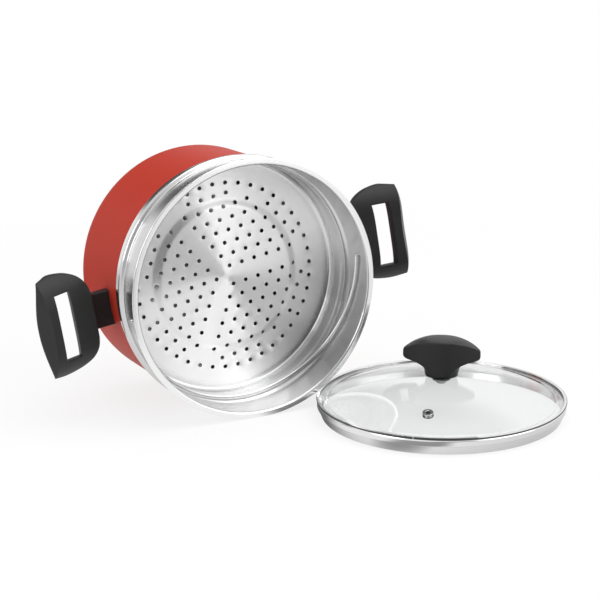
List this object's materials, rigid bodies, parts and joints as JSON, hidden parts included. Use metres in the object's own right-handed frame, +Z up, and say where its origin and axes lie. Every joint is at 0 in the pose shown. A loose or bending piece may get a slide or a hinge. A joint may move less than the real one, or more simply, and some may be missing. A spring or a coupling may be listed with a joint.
{
  "type": "steamer pot",
  "caption": "Red steel pot with a perforated steamer basket, a wire bail and side handles, on its side with its domed glass lid flat beside it.",
  "frame": {"origin": "middle of the footprint of the pot and the lid together, at the table", "axes": "+Z up; -Y is the way the pot's mouth faces; +X runs from the pot to the lid"},
  "size_m": [0.476, 0.3592, 0.2494],
  "materials": {
    "red_enamel": "satin red enamel outside, bare polished steel at the mouth and inside",
    "polished_steel": "polished stainless steel",
    "brushed_steel": "stainless steel, radially brushed plate and polished wall",
    "black_bakelite": "black phenolic plastic with a slight sheen",
    "clear_glass": "clear tempered glass",
    "grey_silicone": "silicone seal"
  },
  "bodies": {
    "pot": {"pot_body": "red_enamel", "left_handle_bracket": "polished_steel", "left_handle_grip": "black_bakelite", "left_handle_screw": "polished_steel", "right_handle_bracket": "polished_steel", "right_handle_grip": "black_bakelite", "right_handle_screw": "polished_steel"},
    "basket": {"steamer_basket": "brushed_steel"},
    "bail": {"basket_bail": "polished_steel"},
    "lid": {"lid_glass": "clear_glass", "lid_rim_band": "polished_steel", "lid_vent_eyelet": "polished_steel", "lid_knob": "black_bakelite", "lid_knob_insert": "polished_steel", "lid_knob_screw": "polished_steel", "lid_knob_washer": "polished_steel", "lid_knob_seal": "grey_silicone"}
  },
  "joints": [
    {"name": "basket_slide", "type": "slide", "parent": "pot", "child": "basket", "axis": [0, -0.9993, 0.0365], "range_m": [0, 0.12]},
    {"name": "bail_swing", "type": "hinge", "parent": "basket", "child": "bail", "pos_m": [-0.04059, 0.03189, 0.12411], "axis": [-0.9895, -0.0053, -0.1443], "range_deg": [0, 205]},
    {"name": "lid_lift", "type": "slide", "parent": "basket", "child": "lid", "axis": [0.6124, -0.6124, 0.5], "range_m": [0, 0.15]}
  ]
}
